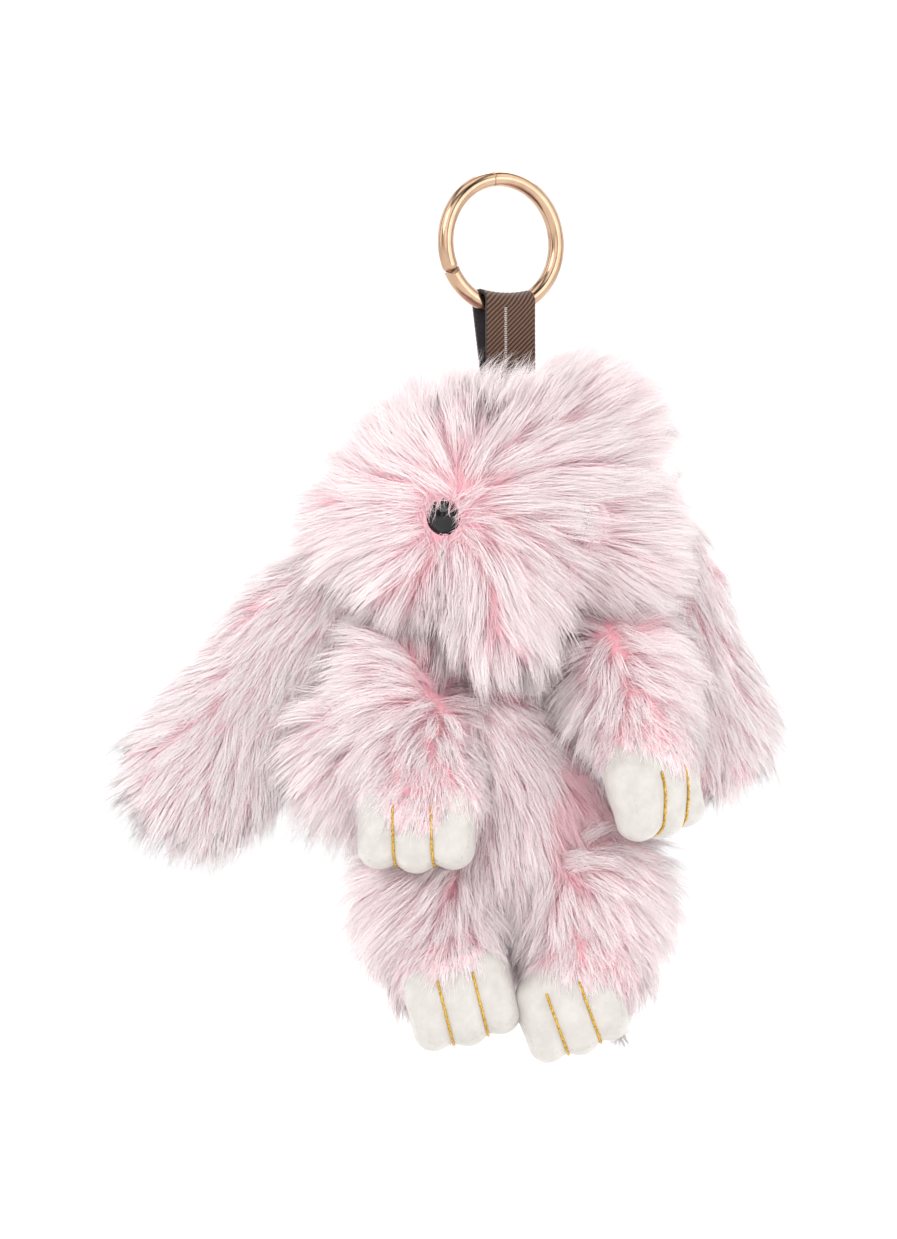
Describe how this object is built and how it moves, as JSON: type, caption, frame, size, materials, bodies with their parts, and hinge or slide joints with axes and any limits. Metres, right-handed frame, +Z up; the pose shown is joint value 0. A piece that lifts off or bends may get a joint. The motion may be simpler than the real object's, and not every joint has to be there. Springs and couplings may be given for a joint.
{
  "type": "plush keychain",
  "caption": "Long-haired plush bunny on a webbing loop and a sprung metal snap ring, with ears, arms and legs that swing.",
  "frame": {"origin": "inside top of the snap ring, where the keychain hangs", "axes": "+Z up through the ring, the bunny's face looks along -Y, +X is the bunny's left"},
  "size_m": [0.1461, 0.0654, 0.197],
  "materials": {
    "gold_metal": "polished pale gold plating",
    "spring_steel": "plain",
    "webbing": "brown twill webbing",
    "webbing_thread": "grey sewing thread",
    "fur": "long pale pink faux fur",
    "filling": "polyester stuffing",
    "paw_leather": "smooth off-white",
    "gold_thread": "metallic gold thread",
    "eye_bead": "glossy black",
    "washer": "plain",
    "sewing_thread": "pink sewing thread"
  },
  "bodies": {
    "ring": {"ring_body": "gold_metal", "gate_pin": "gold_metal"},
    "gate": {"ring_gate": "gold_metal", "gate_spring": "spring_steel"},
    "strap": {"webbing_loop": "webbing", "webbing_stitching": "webbing_thread"},
    "head": {"head_cover": "fur", "head_filling": "filling", "eye_right": "eye_bead", "eye_left": "eye_bead", "eye_washer_right": "washer", "eye_washer_left": "washer"},
    "ear_right": {"ear_right": "fur"},
    "ear_left": {"ear_left": "fur"},
    "torso": {"torso_cover": "fur", "torso_filling": "filling", "neck_stitching": "sewing_thread"},
    "arm_right": {"arm_right_cover": "fur", "arm_right_filling": "filling", "front_paw_right": "paw_leather", "front_paw_right_thread_outer": "gold_thread", "front_paw_right_thread_inner": "gold_thread"},
    "arm_left": {"arm_left_cover": "fur", "arm_left_filling": "filling", "front_paw_left": "paw_leather", "front_paw_left_thread_outer": "gold_thread", "front_paw_left_thread_inner": "gold_thread"},
    "leg_right": {"leg_right_cover": "fur", "leg_right_filling": "filling", "hind_paw_right": "paw_leather", "hind_paw_right_thread_outer": "gold_thread", "hind_paw_right_thread_inner": "gold_thread"},
    "leg_left": {"leg_left_cover": "fur", "leg_left_filling": "filling", "hind_paw_left": "paw_leather", "hind_paw_left_thread_outer": "gold_thread", "hind_paw_left_thread_inner": "gold_thread"}
  },
  "joints": [
    {"name": "gate_hinge", "type": "hinge", "parent": "ring", "child": "gate", "pos_m": [-0.01144, -0.00661, -0.01784], "axis": [-0.5, 0.866, 0], "range_deg": [0, 38], "stiffness_Nm_per_rad": 0.02, "springref_deg": -11.46},
    {"name": "strap_swing", "type": "hinge", "parent": "ring", "child": "strap", "pos_m": [0, 0, -0.0258], "axis": [0.866, 0.5, 0], "range_deg": [-70, 70]},
    {"name": "crown_flex", "type": "hinge", "parent": "strap", "child": "head", "pos_m": [0.0005, 0.0003, -0.0426], "axis": [0.866, 0.5, 0], "range_deg": [-25, 25], "stiffness_Nm_per_rad": 0.02},
    {"name": "neck_nod", "type": "hinge", "parent": "head", "child": "torso", "pos_m": [0, 0.003, -0.098], "axis": [1, 0, 0], "range_deg": [-9, 9], "stiffness_Nm_per_rad": 0.1},
    {"name": "ear_right_lift", "type": "hinge", "parent": "head", "child": "ear_right", "pos_m": [-0.034, 0.003, -0.086], "axis": [0, 1, 0], "range_deg": [-10, 60], "stiffness_Nm_per_rad": 0.02},
    {"name": "ear_left_lift", "type": "hinge", "parent": "head", "child": "ear_left", "pos_m": [0.038, 0.008, -0.077], "axis": [0, -1, 0], "range_deg": [-5, 65], "stiffness_Nm_per_rad": 0.02},
    {"name": "arm_right_swing", "type": "hinge", "parent": "torso", "child": "arm_right", "pos_m": [-0.0245, -0.002, -0.109], "axis": [-1, 0, 0], "range_deg": [-3, 50], "stiffness_Nm_per_rad": 0.02},
    {"name": "arm_left_swing", "type": "hinge", "parent": "torso", "child": "arm_left", "pos_m": [0.025, -0.002, -0.102], "axis": [-1, 0, 0], "range_deg": [-3, 50], "stiffness_Nm_per_rad": 0.02},
    {"name": "leg_right_swing", "type": "hinge", "parent": "torso", "child": "leg_right", "pos_m": [-0.0145, -0.003, -0.159], "axis": [-1, 0, 0], "range_deg": [-8, 35], "stiffness_Nm_per_rad": 0.02},
    {"name": "leg_left_swing", "type": "hinge", "parent": "torso", "child": "leg_left", "pos_m": [0.0145, -0.003, -0.16], "axis": [-1, 0, 0], "range_deg": [-8, 35], "stiffness_Nm_per_rad": 0.02}
  ]
}
